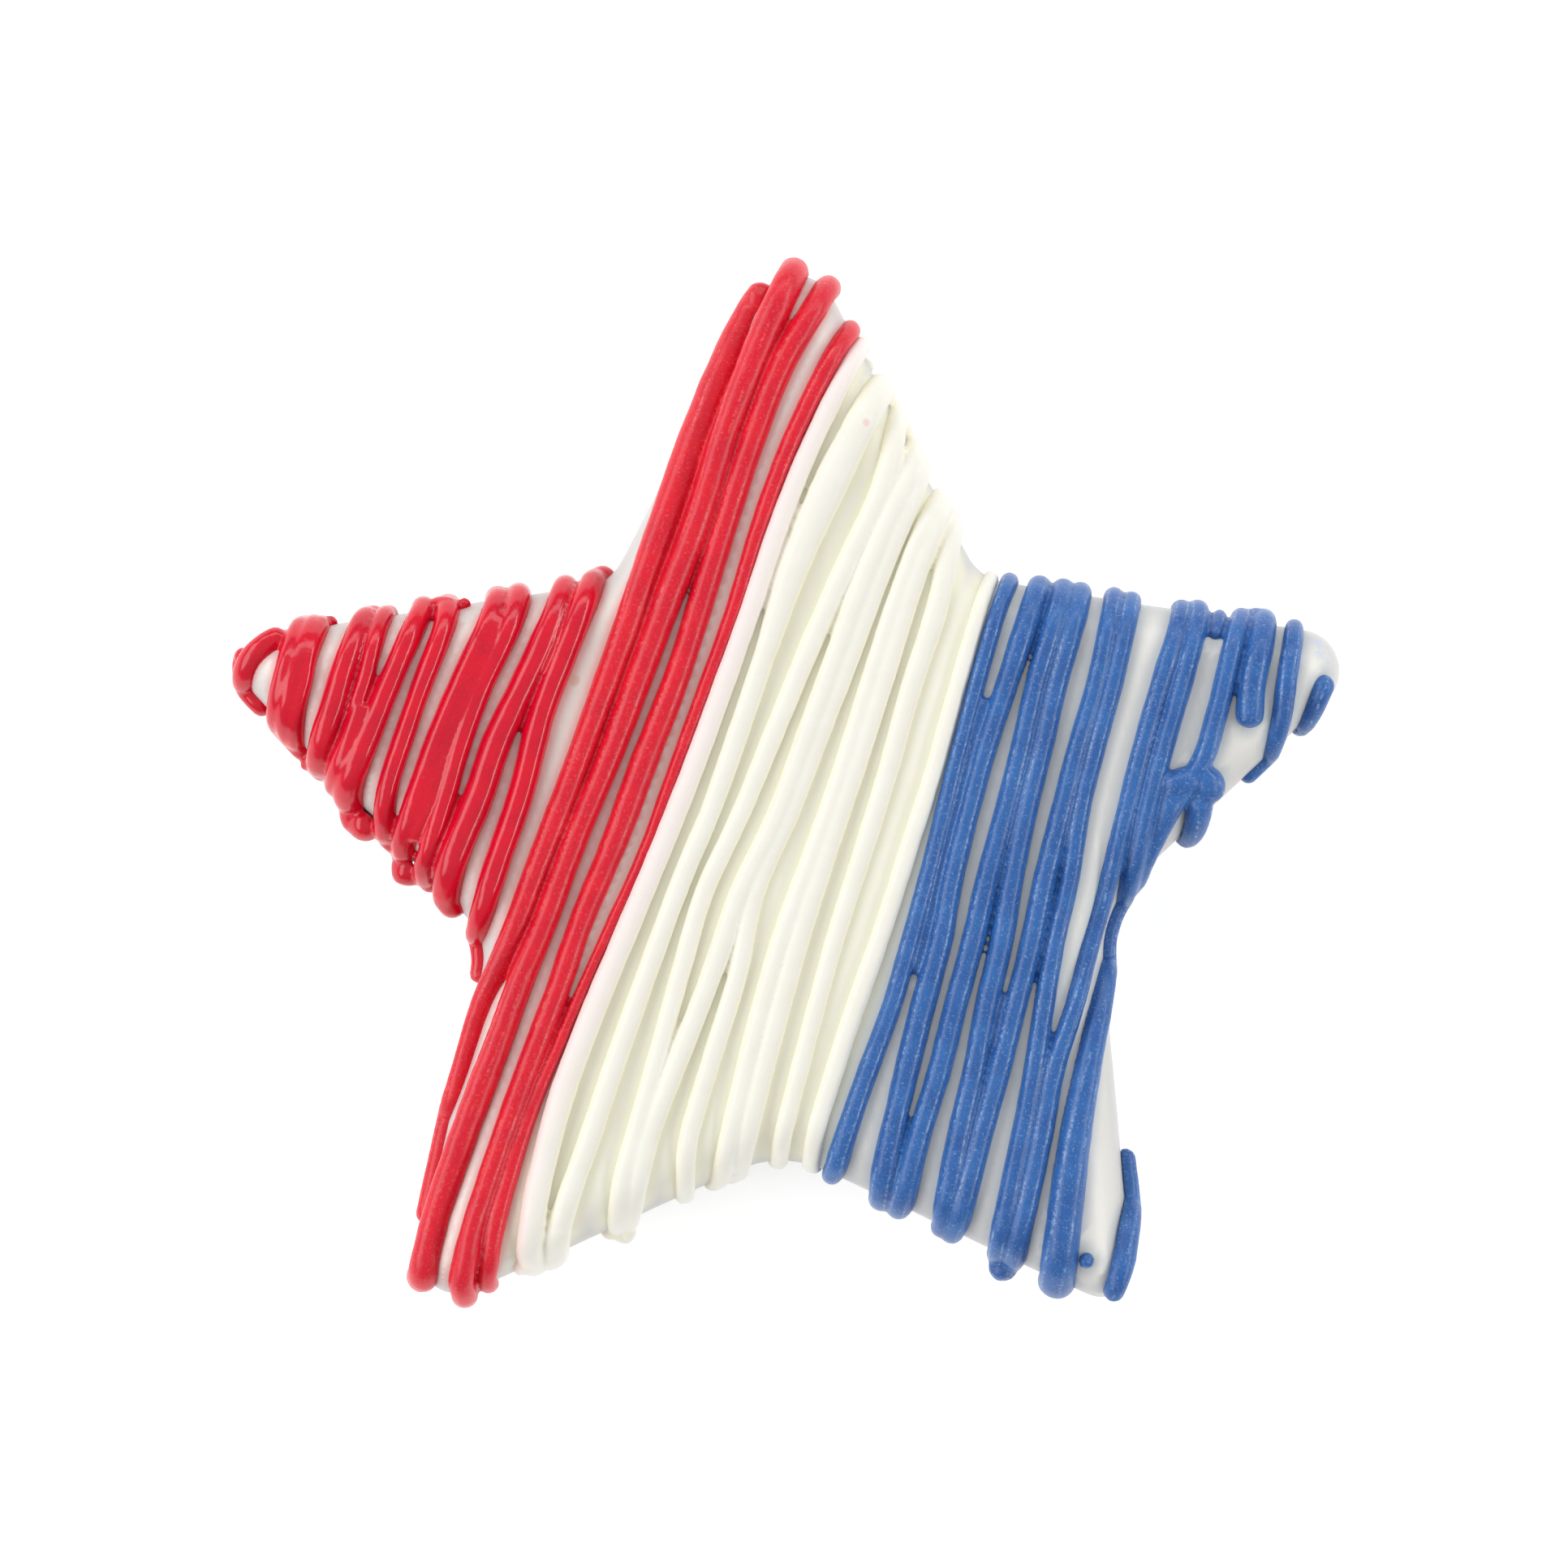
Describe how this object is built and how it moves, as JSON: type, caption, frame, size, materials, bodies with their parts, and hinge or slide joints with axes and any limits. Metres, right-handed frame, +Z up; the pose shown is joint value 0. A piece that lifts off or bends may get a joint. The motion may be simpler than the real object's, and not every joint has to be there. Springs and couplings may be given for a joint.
{
  "type": "iced star biscuit",
  "caption": "Thick star-shaped biscuit in a smooth white coating, drizzled with slanting strands of red, white and blue icing that run down its sides.",
  "frame": {"origin": "middle of the flat base, below the centre of the whole biscuit's box", "axes": "+Z up out of the iced top, +X through the point with blue icing, +Y through the point between the red and the white icing"},
  "size_m": [0.0882, 0.0845, 0.0124],
  "materials": {
    "white_coating": "smooth set white confectionery coating, soft satin sheen",
    "red_icing": "set red icing, glossy with a fine grain",
    "white_icing": "set creamy white icing, soft sheen",
    "blue_icing": "set blue icing, satin with a fine pale grain"
  },
  "bodies": {
    "root": {"coated_cookie": "white_coating", "red_icing_left_arm": "red_icing", "red_icing_long": "red_icing", "white_icing_band": "white_icing", "white_icing_middle": "white_icing", "white_icing_last": "white_icing", "blue_icing_band": "blue_icing", "blue_icing_near_point": "blue_icing", "blue_icing_at_point": "blue_icing", "blue_icing_lower_edge": "blue_icing", "blue_icing_drop": "blue_icing"}
  },
  "joints": []
}
